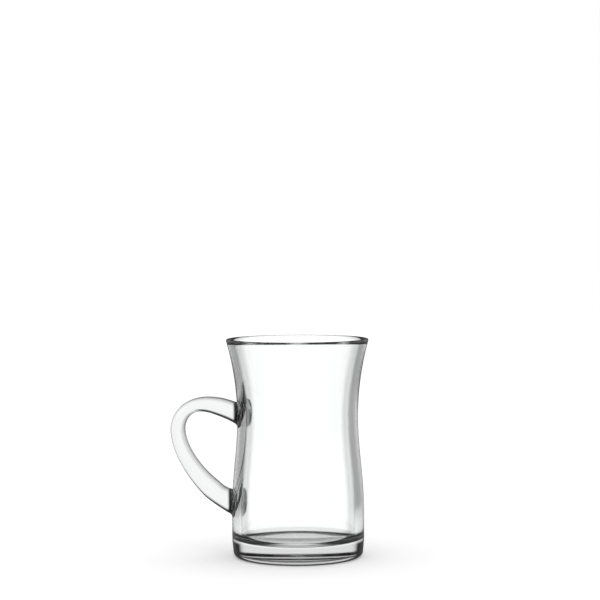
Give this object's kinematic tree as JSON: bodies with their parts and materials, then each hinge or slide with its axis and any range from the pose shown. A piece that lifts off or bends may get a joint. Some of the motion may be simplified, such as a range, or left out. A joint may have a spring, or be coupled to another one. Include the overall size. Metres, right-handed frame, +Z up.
{
  "type": "glass mug",
  "caption": "Clear glass mug with a flared lip, a drawn-in waist, a heavy rounded base and a tapering loop handle fused to the wall.",
  "frame": {"origin": "the vessel's axis, at the level of the table that the base stands on", "axes": "+Z up along the vessel's axis towards the lip; the handle points along -X; +Y is away from a viewer who sees the handle on the left"},
  "size_m": [0.107, 0.076, 0.1165],
  "materials": {
    "vessel_glass": "fire-polished clear soda-lime glass",
    "handle_glass": "fire-polished clear soda-lime glass"
  },
  "bodies": {
    "root": {"body": "vessel_glass", "handle": "handle_glass"}
  },
  "joints": []
}
